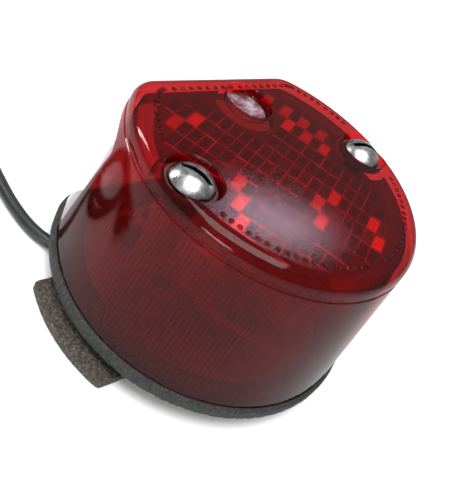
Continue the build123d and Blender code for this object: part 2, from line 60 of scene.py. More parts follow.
# ---- camera ----
VIEW_FROM = Vector((0.1129, 0.0595, 0.1221))
VIEW_HEADING = math.radians(206.92)
VIEW_FALL = math.radians(39.19)
VIEW_ROLL = math.radians(35.7)
VIEW_LENS = 47.1

look = Vector((
    math.cos(VIEW_HEADING) * math.cos(VIEW_FALL),
    math.sin(VIEW_HEADING) * math.cos(VIEW_FALL),
    -math.sin(VIEW_FALL),
))
camera = bpy.data.objects.new("camera", bpy.data.cameras.new("camera"))
camera.data.lens = VIEW_LENS
camera.data.sensor_width = 36.0
camera.data.clip_start = 0.01
camera.location = VIEW_FROM
camera.rotation_mode = "QUATERNION"
camera.rotation_quaternion = look.to_track_quat("-Z", "Y") @ Quaternion((0, 0, 1), VIEW_ROLL)
bpy.context.scene.collection.objects.link(camera)
bpy.context.scene.camera = camera
bpy.context.scene.cycles.transparent_max_bounces = 32


# ---- material helpers ----
class Paint:
    """A node material built in short steps."""

    def __init__(self, name):
        self.material = bpy.data.materials.new(name)
        self.material.use_nodes = True
        self.tree = self.material.node_tree
        self.tree.nodes.clear()
        self.out = self.tree.nodes.new("ShaderNodeOutputMaterial")
        self.coords = self.tree.nodes.new("ShaderNodeTexCoord")

    def node(self, kind, links=(), **values):
        made = self.tree.nodes.new(kind)
        for key, value in values.items():
            setattr(made, key, value)
        for socket, source in dict(links).items():
            target = made.inputs[socket]
            if isinstance(source, bpy.types.NodeSocket):
                self.tree.links.new(source, target)
            else:
                target.default_value = source
        return made

    def noise(self, scale, detail=4.0, roughness=0.6, stretch=(1, 1, 1)):
        place = self.node("ShaderNodeMapping", {"Vector": self.coords.outputs["Object"], "Scale": stretch})
        links = {"Vector": place.outputs[0], "Scale": scale, "Detail": detail, "Roughness": roughness}
        return self.node("ShaderNodeTexNoise", links).outputs[0]

    def ramp(self, source, *stops):
        made = self.node("ShaderNodeValToRGB", {"Fac": source})
        ramp = made.color_ramp
        while len(ramp.elements) < len(stops):
            ramp.elements.new(0.5)
        for element, (place, colour) in zip(ramp.elements, stops):
            element.position = place
            element.color = (*colour, 1.0)
        return made.outputs[0]

    def span(self, source, low, high, start=0.0, end=1.0):
        links = {"Value": source, "From Min": start, "From Max": end, "To Min": low, "To Max": high}
        return self.node("ShaderNodeMapRange", links).outputs[0]

    def bump(self, *layers):
        normal = None
        for height, strength, distance in layers:
            links = {"Height": height, "Strength": strength, "Distance": distance}
            if normal:
                links["Normal"] = normal
            normal = self.node("ShaderNodeBump", links).outputs[0]
        return normal

    def mix(self, share, first, second):
        made = self.node("ShaderNodeMixShader", {0: share})
        self.tree.links.new(first, made.inputs[1])
        self.tree.links.new(second, made.inputs[2])
        return made.outputs[0]

    def blend(self, share, first, second):
        """First colour to second colour by share; second is a plain (r, g, b)."""
        made = self.node("ShaderNodeMix", data_type="RGBA")
        self.tree.links.new(share, made.inputs[0])
        self.tree.links.new(first, made.inputs[6])
        made.inputs[7].default_value = (*second, 1.0)
        return made.outputs[2]

    def principled(self, **sockets):
        links = {key.replace("_", " "): value for key, value in sockets.items()}
        return self.node("ShaderNodeBsdfPrincipled", links).outputs[0]

    def done(self, surface):
        self.tree.links.new(surface, self.out.inputs["Surface"])
        return self.material


def solid_finish(name, stops, grain, rough, bumps, metal=0.0, detail=6.0, coat=0.0):
    """Opaque finish: colours along one noise, rough between two values, bumps (scale, strength, distance)."""
    paint = Paint(name)
    colour = paint.ramp(paint.noise(grain, detail, 0.62), *stops)
    roughness = paint.span(paint.noise(grain * 2.3, 3.0), rough[0], rough[1], 0.3, 0.7)
    layers = [(paint.noise(scale, 5.0), strength, distance) for scale, strength, distance in bumps]
    return paint.done(paint.principled(
        Base_Color=colour, Metallic=metal, Roughness=roughness, Normal=paint.bump(*layers), Coat_Weight=coat,
    ))


def two_tone(name, dark, light, grain, rough, bump, metal=0.0):
    """Opaque finish between two colours, with one bump layer."""
    return solid_finish(name, ((0.3, dark), (0.7, light)), grain, rough, (bump,), metal=metal)


def clear_finish(name, tint, body, body_share, gloss_rough,
                 ior=1.49, edge_tint=None, edge_from=0.15, gloss_share=1.0):
    """See-through plastic or glass with a share of coloured body and a gloss by angle on its front.

    With an edge tint it is darker where it is seen along its surface.
    """
    paint = Paint(name)
    wear = paint.noise(900.0, 6.0, 0.7)
    scratches = paint.noise(260.0, 8.0, 0.75, (1, 6, 1))
    normal = paint.bump((scratches, 0.05, 0.0002), (wear, 0.03, 0.0001))
    depth = paint.ramp(paint.noise(70.0, 4.0), (0.25, [0.7 * c for c in body]), (0.75, body))
    passed = (*tint, 1.0)
    if edge_tint:
        facing = paint.node("ShaderNodeLayerWeight", {"Blend": 0.5}).outputs["Facing"]
        passed = paint.ramp(facing, (edge_from, tint), (0.88, edge_tint))
        depth = paint.blend(paint.span(facing, 0.0, 1.0, 0.2, 0.8), depth, [0.35 * c for c in body])
    pass_through = paint.node("ShaderNodeBsdfTransparent", {"Color": passed}).outputs[0]
    solid = paint.node("ShaderNodeBsdfDiffuse", {"Color": depth, "Roughness": 0.3}).outputs[0]
    glow = paint.node("ShaderNodeBsdfTranslucent", {"Color": depth}).outputs[0]
    seen = paint.mix(body_share, pass_through, paint.mix(0.5, solid, glow))
    gloss_links = {"Color": (1.0, 1.0, 1.0, 1.0), "Roughness": gloss_rough, "Normal": normal}
    gloss = paint.node("ShaderNodeBsdfGlossy", gloss_links).outputs[0]
    angle = paint.node("ShaderNodeFresnel", {"IOR": ior, "Normal": normal}).outputs[0]
    behind = paint.node("ShaderNodeNewGeometry").outputs["Backfacing"]
    front_only = paint.span(behind, gloss_share, 0.0)
    share = paint.node("ShaderNodeMath", {0: angle, 1: front_only}, operation="MULTIPLY").outputs[0]
    return paint.done(paint.mix(share, seen, gloss))


def paint_recess_shade(material, reach, shade_colour):
    """Paints shade into an opaque finish where its surface is hemmed in, such as in a screw's slot: an
    ambient occlusion mask blends the base colour towards a dark shade colour.
    """
    tree = material.node_tree
    shader = next(n for n in tree.nodes if n.type == "BSDF_PRINCIPLED")
    # ambient occlusion mask for the painted shade
    hemmed = tree.nodes.new("ShaderNodeAmbientOcclusion")
    hemmed.inputs["Distance"].default_value = reach
    hemmed.samples = 8
    share = tree.nodes.new("ShaderNodeMapRange")
    share.inputs["From Min"].default_value = 0.45
    share.inputs["From Max"].default_value = 0.95
    blend = tree.nodes.new("ShaderNodeMix")
    blend.data_type = "RGBA"
    blend.inputs[6].default_value = (*shade_colour, 1.0)
    tree.links.new(hemmed.outputs["AO"], share.inputs["Value"])
    tree.links.new(share.outputs[0], blend.inputs[0])
    tree.links.new(shader.inputs["Base Color"].links[0].from_socket, blend.inputs[7])
    tree.links.new(blend.outputs[2], shader.inputs["Base Color"])


# ---- mesh helpers ----
FLAT_FACE = 40 * MM * MM
SQUARE = ((-1, -1), (1, -1), (1, 1), (-1, 1))


def make(name, vertices, faces, material, body, smooth=38.0):
    """Mesh piece from millimetres, riding on its body if it has one; see finish_mesh."""
    mesh = bpy.data.meshes.new(name)
    mesh.from_pydata([Vector(v) * MM for v in vertices], [], faces)
    mesh.validate()
    return finish_mesh(name, mesh, material, body, smooth)


def finish_mesh(name, mesh, material, body, smooth=38.0):
    """Smooth shading, with sharp edges past the smooth angle and round every large flat face."""
    bm = bmesh.new()
    bm.from_mesh(mesh)
    bmesh.ops.recalc_face_normals(bm, faces=bm.faces)
    bm.to_mesh(mesh)
    bm.free()
    mesh.shade_smooth()
    mesh.set_sharp_from_angle(angle=math.radians(smooth))
    flats = {key for face in mesh.polygons if face.area > FLAT_FACE for key in face.edge_keys}
    sharp = mesh.attributes.get("sharp_edge")
    if sharp:
        for k, edge in enumerate(mesh.edges):
            if edge.key in flats:
                sharp.data[k].value = True
    obj = bpy.data.objects.new(name, mesh)
    bpy.context.scene.collection.objects.link(obj)
    if material and not len(mesh.materials):
        mesh.materials.append(material)
    if body:
        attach(obj, body)
    return obj


def helper(name, vertices, faces):
    """Mesh with no material or body, for cut() to use up."""
    return make(name, vertices, faces, None, None)


def flat_sheet(name, corners, material):
    """One four-sided face in metres, with no body."""
    mesh = bpy.data.meshes.new(name)
    mesh.from_pydata(corners, [], [(0, 1, 2, 3)])
    mesh.materials.append(material)
    sheet = bpy.data.objects.new(name, mesh)
    bpy.context.scene.collection.objects.link(sheet)
    return sheet


def loops_faces(rings, size, closed_stack=False):
    """Faces between stacked closed loops of the same size."""
    faces = []
    for low in range(rings if closed_stack else rings - 1):
        high = (low + 1) % rings
        for k in range(size):
            j = (k + 1) % size
            faces.append((low * size + k, low * size + j, high * size + j, high * size + k))
    return faces


def capped(vertices, faces, size, rings):
    """Closes the first and last loops."""
    return vertices, faces + [tuple(reversed(range(size))), tuple(range((rings - 1) * size, rings * size))]


def turned(profile, centre, steps):
    """Vertices and faces of a turned solid from (radius, z) pairs; a radius of 0 closes an end by a fan."""
    vertices, faces, rows = [], [], []
    for radius, z in profile:
        if radius < 1e-6:
            rows.append([len(vertices)])
            vertices.append((0, 0, z))
        else:
            rows.append(list(range(len(vertices), len(vertices) + steps)))
            for k in range(steps):
                t = 2 * math.pi * k / steps
                vertices.append((radius * math.cos(t), radius * math.sin(t), z))
    for low, high in zip(rows, rows[1:]):
        for k in range(steps):
            j = (k + 1) % steps
            if len(low) == 1 and len(high) > 1:
                faces.append((low[0], high[j], high[k]))
            elif len(high) == 1 and len(low) > 1:
                faces.append((low[k], low[j], high[0]))
            elif len(low) > 1:
                faces.append((low[k], low[j], high[j], high[k]))
    return [tuple(Vector(v) + Vector(centre)) for v in vertices], faces


def rod(name, x, y, radius, low, high):
    """Upright cylinder for cut()."""
    return helper(name, *turned([(0, low), (radius, low), (radius, high), (0, high)], (x, y, 0), 72))


def cut(name, base, tools, material, body, smooth=38.0):
    """New piece from base with every tool cut away; base and tools are used up."""
    bpy.context.view_layer.update()
    if not len(base.data.materials):
        base.data.materials.append(material)
    for tool in tools:
        if not len(tool.data.materials):
            tool.data.materials.append(base.data.materials[0])
        modifier = base.modifiers.new("cut", "BOOLEAN")
        modifier.operation = "DIFFERENCE"
        modifier.material_mode = "TRANSFER"
        modifier.solver = "EXACT"
        modifier.object = tool
    graph = bpy.context.evaluated_depsgraph_get()
    mesh = bpy.data.meshes.new_from_object(base.evaluated_get(graph))
    for used in [base, *tools]:
        bpy.data.objects.remove(used)
    return finish_mesh(name, mesh, material, body, smooth)


# ---- the drum's outline at its foot: a circle with one flat side and round corners ----
corner_y = -FLAT + CORNER
corner_x = math.sqrt((R - CORNER) ** 2 - corner_y**2)
corner_turn = math.atan2(corner_y, corner_x)


def outline(per_mm):
    """Even points around the drum as (point, outward normal), anticlockwise from the flat's +X end."""
    found = []

    def arc(cx, cy, radius, start, end):
        count = max(2, round(radius * abs(end - start) * per_mm))
        for k in range(count):
            t = start + (end - start) * k / count
            n = Vector((math.cos(t), math.sin(t)))
            found.append((Vector((cx, cy)) + radius * n, n))

    arc(corner_x, corner_y, CORNER, -math.pi / 2, corner_turn)
    arc(0, 0, R, corner_turn, math.pi - corner_turn)
    arc(-corner_x, corner_y, CORNER, math.pi - corner_turn, 1.5 * math.pi)
    count = round(2 * corner_x * per_mm)
    for k in range(count):
        found.append((Vector((-corner_x + 2 * corner_x * k / count, -FLAT)), Vector((0, -1))))
    return found


def swept(profile, around, closed=True):
    """Stacked loops at (inset, z) pairs around the outline."""
    vertices = [(*(p - inset * n), z) for inset, z in profile for p, n in around]
    return vertices, loops_faces(len(profile), len(around), closed)


# ---- finishes: see-through ----
bpy.context.scene.view_settings.view_transform = "Standard"
lens_red = clear_finish(
    "lens_red", (0.70, 0.13, 0.14), (0.32, 0.012, 0.016), 0.09, 0.05,
    ior=1.36, edge_tint=(0.26, 0.014, 0.018), edge_from=0.42, gloss_share=0.5,
)
flute_red = clear_finish(
    "flute_red", (0.80, 0.12, 0.13), (0.50, 0.036, 0.040), 0.36, 0.2,
    edge_tint=(0.06, 0.004, 0.005), edge_from=0.10,
)
window_clear = clear_finish("window_clear", (0.90, 0.84, 0.85), (0.55, 0.46, 0.47), 0.10, 0.05)
bulb_clear = clear_finish("bulb_clear", (0.93, 0.94, 0.94), (0.5, 0.5, 0.5), 0.06, 0.03)

# ---- finishes: rubber and metal outside ----
ring_rubber = solid_finish(
    "weathered_rubber",
    (
        (0.30, (0.003, 0.004, 0.0035)), (0.48, (0.012, 0.014, 0.012)),
        (0.62, (0.030, 0.032, 0.027)), (0.80, (0.11, 0.108, 0.09)),
    ),
    1300.0, (0.6, 0.95), ((2200.0, 0.5, 0.0003), (420.0, 0.4, 0.0006)), detail=9.0,
)
bar_steel = solid_finish(
    "corroded_steel",
    (
        (0.28, (0.006, 0.005, 0.004)), (0.46, (0.034, 0.027, 0.019)),
        (0.6, (0.085, 0.068, 0.050)), (0.76, (0.26, 0.22, 0.17)),
    ),
    1500.0, (0.55, 0.95), ((1900.0, 0.9, 0.0005), (380.0, 0.5, 0.0009)), metal=0.1, detail=10.0,
)
pad_rubber = solid_finish(
    "pad_rubber", ((0.35, (0.012, 0.012, 0.012)), (0.7, (0.05, 0.048, 0.045))),
    300.0, (0.7, 0.95), ((900.0, 0.3, 0.0003),),
)
plated_screw = solid_finish(
    "plated_screw",
    (
        (0.28, (0.07, 0.055, 0.04)), (0.42, (0.26, 0.26, 0.25)),
        (0.6, (0.50, 0.51, 0.50)), (0.8, (0.74, 0.75, 0.74)),
    ),
    300.0, (0.2, 0.42), ((1500.0, 0.08, 0.0002), (420.0, 0.1, 0.0003)), metal=1.0,
)
# painted shade: the screws' slots and other hemmed-in spots are darkened towards near black
paint_recess_shade(plated_screw, 0.0016, (0.012, 0.010, 0.008))

# ---- finishes: inside pieces ----
washer_fibre = two_tone(
    "fibre_washer", (0.02, 0.012, 0.01), (0.09, 0.045, 0.035), 700.0, (0.6, 0.9), (1500.0, 0.3, 0.0002))
plated_steel = solid_finish(
    "plated_steel", ((0.3, (0.35, 0.33, 0.27)), (0.5, (0.58, 0.57, 0.5)), (0.75, (0.78, 0.77, 0.72))),
    160.0, (0.28, 0.55), ((900.0, 0.2, 0.0002),), metal=0.75,
)
holder_steel = solid_finish(
    "holder_steel", ((0.3, (0.16, 0.15, 0.13)), (0.55, (0.36, 0.35, 0.32)), (0.8, (0.6, 0.59, 0.56))),
    240.0, (0.3, 0.6), ((900.0, 0.25, 0.0002),), metal=0.85,
)
brass = two_tone(
    "brass", (0.32, 0.2, 0.07), (0.72, 0.52, 0.22), 300.0, (0.22, 0.5), (1200.0, 0.2, 0.0002), metal=1.0)
vitrite = two_tone(
    "black_vitrite", (0.01, 0.01, 0.012), (0.03, 0.03, 0.035), 400.0, (0.15, 0.3), (1200.0, 0.1, 0.0001))
solder = two_tone(
    "solder", (0.35, 0.35, 0.36), (0.68, 0.68, 0.69), 500.0, (0.25, 0.5), (1500.0, 0.3, 0.0002), metal=1.0)
filament = two_tone(
    "filament_wire", (0.2, 0.2, 0.21), (0.5, 0.5, 0.52), 900.0, (0.3, 0.5), (2500.0, 0.3, 0.0001), metal=0.9)
board = two_tone(
    "fibre_board", (0.12, 0.06, 0.03), (0.28, 0.15, 0.08), 500.0, (0.6, 0.85), (1500.0, 0.2, 0.0002))
red_wire = two_tone(
    "red_wire", (0.35, 0.01, 0.01), (0.55, 0.03, 0.02), 300.0, (0.35, 0.55), (900.0, 0.1, 0.0001))
black_wire = two_tone(
    "black_wire", (0.01, 0.01, 0.01), (0.03, 0.03, 0.03), 300.0, (0.35, 0.55), (900.0, 0.1, 0.0001))

# ---- finishes: lead, plug and reflex plate ----
cable_black = solid_finish(
    "cable_black", ((0.35, (0.003, 0.005, 0.005)), (0.7, (0.010, 0.013, 0.012))),
    260.0, (0.38, 0.6), ((1100.0, 0.12, 0.0002),), coat=0.1,
)
plug_black = solid_finish(
    "plug_black", ((0.35, (0.010, 0.010, 0.011)), (0.7, (0.035, 0.035, 0.036))),
    500.0, (0.45, 0.7), ((1600.0, 0.2, 0.0002),),
)
reflex_back = two_tone(
    "reflex_back", (0.16, 0.02, 0.022), (0.40, 0.06, 0.065), 300.0, (0.3, 0.5), (900.0, 0.2, 0.0002))


def prism_finish():
    """Prism faces coloured by a per-face glint tone: dark, then a painted pale edge highlight, then a painted
    lit red reflection; the pale and lit faces also glow by emission, though the plate is no lamp.
    """
    paint = Paint("reflex_red")
    glint_tone = paint.node("ShaderNodeAttribute", attribute_name="glint_tone").outputs["Fac"]
    facet = paint.ramp(
        glint_tone,
        (0.0, (0.006, 0.004, 0.004)), (0.34, (0.06, 0.016, 0.016)), (0.52, (0.60, 0.30, 0.32)),
        (0.70, (0.90, 0.42, 0.42)), (0.74, (0.85, 0.10, 0.08)), (1.0, (1.0, 0.20, 0.14)),
    )
    grain = paint.noise(700.0, 4.0)
    # emission set by the glint tone makes the painted highlights and reflections glow
    return paint.done(paint.principled(
        Base_Color=facet, Roughness=paint.span(grain, 0.12, 0.32), Specular_IOR_Level=0.6,
        Emission_Color=facet, Emission_Strength=paint.span(glint_tone, 0.0, 2.2, 0.45, 1.0),
        Normal=paint.bump((grain, 0.08, 0.0002)),
    ))


prism_red = prism_finish()

# ---- CAD nodes that are seen as they are: their finish, and edges broken by a bevel ----
CAD_FINISH = {
    plated_steel: ("base_plate", "screw_posts", "mount_nuts", "earth_tag", "bracket_rivets", "earth_screw"),
    holder_steel: ("bulb_holder", "holder_bracket"),
    pad_rubber: ("mounting_pad", "cable_grommet"),
    washer_fibre: ("screw_washers",),
    brass: ("bulb_cap", "contact_leaf", "contact_terminal", "plug_pins"),
    vitrite: ("bulb_insulator",),
    solder: ("bulb_contact",),
    filament: ("filament_mount",),
    board: ("holder_insulator",),
    red_wire: ("live_wire",),
    black_wire: ("earth_wire",),
    bulb_clear: ("bulb_glass",),
    window_clear: ("plate_window",),
    plated_screw: ("lens_screw_left", "lens_screw_right"),
}
BROKEN_EDGES = {
    (0.14, 3): ("lens_screw_left", "lens_screw_right"),
    (0.12, 2): (
        "base_plate", "holder_bracket", "bulb_holder", "mounting_pad",
        "mount_nuts", "screw_posts", "bulb_cap",
    ),
}
for finish, names in CAD_FINISH.items():
    for name in names:
        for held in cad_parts[name].material_slots:
            held.link = "OBJECT"
            held.material = finish
for (width, segments), names in BROKEN_EDGES.items():
    for name in names:
        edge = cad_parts[name].modifiers.new("edge", "BEVEL")
        edge.width = width * MM
        edge.segments = segments
        edge.limit_method = "ANGLE"
        edge.angle_limit = math.radians(40)

# ---- cable: one spline from the outlet round its coil to the plug ----
CABLE_R = 1.6
COIL = Vector((54.0, -62.0))
OUTER, INNER, UPPER = 19.2, 15.9, 17.6
FLOOR_Z, UPPER_Z = 1.65, 4.45
OVERSHOOT = 0.35
FROM_OUTLET = [
    (18.5, -17.2, 1.65), (25.0, -17.6, 1.65), (30.2, -20.0, 1.65), (33.8, -24.6, 1.65),
    (35.6, -30.6, 1.65), (36.1, -38.0, 1.65), (35.7, -45.4, 1.65), (35.0, -53.6, 1.65),
]
TO_PLUG = [(72.7, -58.4, 4.95), (73.6, -54.8, 4.6), (74.4, -51.6, 3.3), (74.9, -47.4, 2.4)]
PER_TURN, COIL_POINTS, COIL_START = 16, 41, 180


def eased(turn, start, run):
    """0 up to start, 1 from start + run on, and straight between."""
    return max(0.0, min(1.0, (turn - start) / run))


def coil_points():
    """Outer turn, inner turn on the floor, then a climb to the upper turn between them; turns in degrees."""
    swell = 1 / math.cos(math.pi / PER_TURN)
    points = []
    for step in range(COIL_POINTS):
        turn = COIL_START + step * 360 / PER_TURN
        reach = OUTER + (INNER - OUTER) * eased(turn, 450, 90) + (UPPER - INNER) * eased(turn, 840, 60)
        climb = (UPPER_Z + OVERSHOOT - FLOOR_Z) * eased(turn, 765, 75)
        level = FLOOR_Z + climb - OVERSHOOT * eased(turn, 870, 30)
        t = math.radians(turn)
        points.append((COIL.x + swell * reach * math.cos(t), COIL.y + swell * reach * math.sin(t), level))
    return points


route = FROM_OUTLET + coil_points() + TO_PLUG
line = bpy.data.curves.new("cable_line", "CURVE")
line.dimensions = "3D"
line.resolution_u = 10
line.bevel_depth = CABLE_R * MM
line.bevel_resolution = 5
spline = line.splines.new("NURBS")
spline.points.add(len(route) - 1)
for point, place in zip(spline.points, route):
    point.co = (*(Vector(place) * MM), 1.0)
spline.order_u = 3
spline.use_endpoint_u = True
line.materials.append(cable_black)
cable = bpy.data.objects.new("cable_run", line)
bpy.context.scene.collection.objects.link(cable)
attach(cable, "lamp")
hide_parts("cable", "cable_coil", "cable_tail")


# ---- ribbed sleeves at both ends of the cable ----
def centreline(curve):
    """Points of a curve's spline with no thickness, in millimetres."""
    bare = curve.copy()
    bare.bevel_depth = 0.0
    holder = bpy.data.objects.new("bare_line", bare)
    mesh = bpy.data.meshes.new_from_object(holder)
    points = [v.co.copy() / MM for v in mesh.vertices]
    bpy.data.objects.remove(holder)
    return points


def measured(points, start, end):
    """The points between two lengths from the line's start."""
    run, kept = 0.0, []
    for a, b in zip(points, points[1:]):
        if start <= run <= end:
            kept.append(a)
        run += (b - a).length
    return kept


def sleeve(name, points, start_radius, widening, rib, material, sides=20, floor=0.06):
    """Ribbed tapered sleeve along points, flattened where it would meet the floor."""
    vertices = []
    last = len(points) - 1
    for k, point in enumerate(points):
        run = (points[min(k + 1, last)] - points[max(k - 1, 0)]).normalized()
        across = run.cross(Vector((0, 0, 1))).normalized()
        up = across.cross(run)
        radius = start_radius + widening * k / last + (rib if k % 2 else 0.0)
        for s in range(sides):
            t = 2 * math.pi * s / sides
            v = point + radius * (math.cos(t) * across + math.sin(t) * up)
            vertices.append((v.x, v.y, max(v.z, floor)))
    vertices, faces = capped(vertices, loops_faces(len(points), sides), sides, len(points))
    return make(name, vertices, faces, material, "lamp")


SLEEVE_RUN = 9.0
line_points = centreline(line)
cable_length = sum((b - a).length for a, b in zip(line_points, line_points[1:]))
exit_boot = sleeve("exit_boot", measured(line_points, 0.0, SLEEVE_RUN), 2.55, -0.75, 0.16, pad_rubber)
neck_run = measured(line_points, cable_length - SLEEVE_RUN, cable_length)
plug_boot = sleeve("plug_boot", neck_run, 1.75, 1.0, 0.18, plug_black)

# ---- plug: ribbed moulded body along +Y ----
PLUG = Vector((74.9, -48.2, 3.0))
PLUG_HALF_WIDE, PLUG_HALF_TALL = 4.0, 2.97
PLUG_ROUNDING = 0.45
RIBS, RIB_START, RIB_PITCH = 5, 2.2, 1.9
RIB_SHAPE = ((0, 0.84), (0.3, 0.97), (0.95, 0.97), (1.25, 0.84))


def rounded(value):
    """Bends a cosine or sine so that an ellipse becomes a rounded box."""
    return math.copysign(abs(value) ** PLUG_ROUNDING, value)


def plug_mesh():
    """Loops at (place along the plug, share of width, share of height)."""
    stations = [(0.0, 0.62, 0.60), (0.2, 0.74, 0.74), (1.6, 0.80, 0.80)]
    for rib in range(RIBS):
        at = RIB_START + rib * RIB_PITCH
        stations += [(at + step, size, size) for step, size in RIB_SHAPE]
    stations += [(12.4, 0.84, 0.84), (12.8, 1.0, 1.0), (17.6, 1.0, 1.0), (18.0, 0.94, 0.93)]
    vertices, sides = [], 40
    for along, wide, tall in stations:
        for s in range(sides):
            t = 2 * math.pi * s / sides
            x = PLUG.x + PLUG_HALF_WIDE * wide * rounded(math.cos(t))
            z = PLUG.z + PLUG_HALF_TALL * tall * rounded(math.sin(t))
            vertices.append((x, PLUG.y + along, z))
    return capped(vertices, loops_faces(len(stations), sides), sides, len(stations))


plug = make("plug_shell", *plug_mesh(), plug_black, "lamp")
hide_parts("plug_body")

# ---- lens: drum with a hollow, bosses, three recesses and the window's opening ----
TOP = FACE - BASE
shoulder_inset = TOP * LEAN + SHOULDER * math.tan((math.pi / 2 - DRAFT) / 2)
wall_line = outline(1.6)


def drum_profile():
    """(inset, z) pairs: broken foot edge, leaning wall, moulding groove, round shoulder."""
    rows = [(0.22, 0.0), (0.02, 0.22)]
    plain = [(h, 0.0) for h in (0.8, 6.0, 12.0, 18.0, 24.0, 30.0, 35.4)]
    groove = [(35.7, 0.02), (35.95, 0.24), (36.5, 0.26), (36.8, 0.02), (37.2, 0.0)]
    rows += [(h * LEAN + deep, h) for h, deep in plain + groove]
    steps = 12
    for k in range(steps + 1):
        t = DRAFT + (math.pi / 2 - DRAFT) * k / steps
        rows.append((shoulder_inset - SHOULDER * math.cos(t), TOP - SHOULDER + SHOULDER * math.sin(t)))
    return [(inset, BASE + h) for inset, h in rows]


FLUTES, FLUTE_DEPTH = 206, 0.5
POINTS_PER_FLUTE = 8
OUTLINE_LENGTH = 247.0


def cavity_mesh():
    """The inside: upright flutes on the wall, smooth under the shoulder."""
    around = outline(POINTS_PER_FLUTE * FLUTES / OUTLINE_LENGTH)
    # height over the foot, share of the flutes' depth, extra inset
    rows = [
        (-1.0, 1.0, 0.0), (0.6, 1.0, 0.0), (16.0, 1.0, 0.0), (32.6, 1.0, 0.0),
        (33.6, 0.35, 0.0), (34.2, 0.0, 0.0), (37.4, 0.0, 0.0), (38.2, 0.0, 0.8),
    ]
    vertices = []
    for h, share, extra in rows:
        for k, (p, n) in enumerate(around):
            wave = abs(math.sin(math.pi * FLUTES * k / len(around)))
            inset = WALL + h * LEAN + extra - FLUTE_DEPTH * share * (1 - wave)
            vertices.append((*(p - inset * n), BASE + h))
    return capped(vertices, loops_faces(len(rows), len(around)), len(around), len(rows))


WINDOW_HALF, WINDOW_CORNER, WINDOW_SPRING = 33, 5, 37.4
WINDOW_DEEP, WINDOW_OUT = -8.1, -45.0


def window_mesh():
    """Block with round top corners that opens the flat side and runs round both corners."""
    shape = [(-WINDOW_HALF, 0), (WINDOW_HALF, 0)]
    for side, first in ((1, 0), (-1, 90)):
        for turn in range(first, first + 91, 9):
            t = math.radians(turn)
            x = side * (WINDOW_HALF - WINDOW_CORNER) + WINDOW_CORNER * math.cos(t)
            shape.append((x, WINDOW_SPRING + WINDOW_CORNER * math.sin(t)))
    vertices = [(x, y, z) for y in (WINDOW_DEEP, WINDOW_OUT) for x, z in shape]
    return capped(vertices, loops_faces(2, len(shape)), len(shape), 2)


def recess(name, x, y, radius, floor, hole):
    """Round-edged pit in the face, with a screw hole through its floor if hole isn't 0."""
    shaft_low = 30.0
    rows = [(0, shaft_low), (hole, shaft_low), (hole, floor)] if hole else [(0, floor)]
    rows += [(radius - 0.5, floor), (radius - 0.15, floor + 0.15), (radius, floor + 0.5)]
    rows += [(radius, FACE - 0.4), (radius + 0.12, FACE - 0.12), (radius + 0.45, FACE + 0.02)]
    rows += [(radius + 0.45, FACE + 1.0), (0, FACE + 1.0)]
    return helper(name, *turned(rows, (x, y, 0), 96))


SCREW_FLOOR, BLIND_FLOOR = 46.6, 47.0
SCREW_HOLE_R = 2.3
profile = drum_profile()
drum = make(
    "drum", *capped(*swept(profile, wall_line, False), len(wall_line), len(profile)), lens_red, None)
cavity = make("cavity", *cavity_mesh(), flute_red, None)
cavity = cut("hollow", cavity, [
    rod("boss_r", SCREW_X, FIXING_Y, RECESS_R + BOSS_WALL, 42.0, 48.0),
    rod("boss_l", -SCREW_X, FIXING_Y, RECESS_R + BOSS_WALL, 42.0, 48.0),
    rod("boss_b", *BLIND, BLIND_R + BOSS_WALL, 44.8, 48.0),
], None, None)
window_cut = helper("window_cut", *window_mesh())
screw_recesses = [
    recess("recess_r", SCREW_X, FIXING_Y, RECESS_R, SCREW_FLOOR, SCREW_HOLE_R),
    recess("recess_l", -SCREW_X, FIXING_Y, RECESS_R, SCREW_FLOOR, SCREW_HOLE_R),
]
blind_recess = recess("recess_b", *BLIND, BLIND_R, BLIND_FLOOR, 0.0)
drum = cut("drum_recessed", drum, [blind_recess], lens_red, None)
lens = cut("lens_shell", drum, [cavity, window_cut, *screw_recesses], lens_red, "lens_cover", 32.0)
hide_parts("lens")

# ---- dust and a painted sheen lying in the blind recess ----
dust_sheen_paint = Paint("recess_dust_and_sheen")
spread = dust_sheen_paint.noise(160.0, 6.0, 0.7)
# the mottled grey-purple colour stands partly for dust and partly for a painted sheen on the recess floor
dust_sheen_colour = dust_sheen_paint.ramp(spread, (0.3, (0.20, 0.10, 0.12)), (0.6, (0.42, 0.36, 0.42)))
lit_dust_sheen = dust_sheen_paint.node("ShaderNodeBsdfDiffuse", {"Color": dust_sheen_colour}).outputs[0]
no_dust_sheen = dust_sheen_paint.node("ShaderNodeBsdfTransparent").outputs[0]
dust_sheen_share = dust_sheen_paint.span(spread, 0.15, 0.85, 0.42, 0.62)
dust_sheen_paint.done(dust_sheen_paint.mix(dust_sheen_share, no_dust_sheen, lit_dust_sheen))
dust_sheen_rows = [(5.3, 47.01), (5.1, 47.05), (3.6, 47.07), (1.8, 47.08), (0.0, 47.08)]
dust_sheen_disc = make("recess_dust_and_sheen", *turned(dust_sheen_rows, (*BLIND, 0), 48), dust_sheen_paint.material, "lens_cover")

# ---- row of plain raised pips round the rim, where there is room beside the screws ----
PIP_PITCH, PIP_INSET, PIP_ROOM, PIP_SIDES = 2.6, 8.7, 8.6, 16
PIP_DOME = [(0.62, -0.05), (0.60, 0.08), (0.50, 0.22), (0.32, 0.32), (0.10, 0.36)]


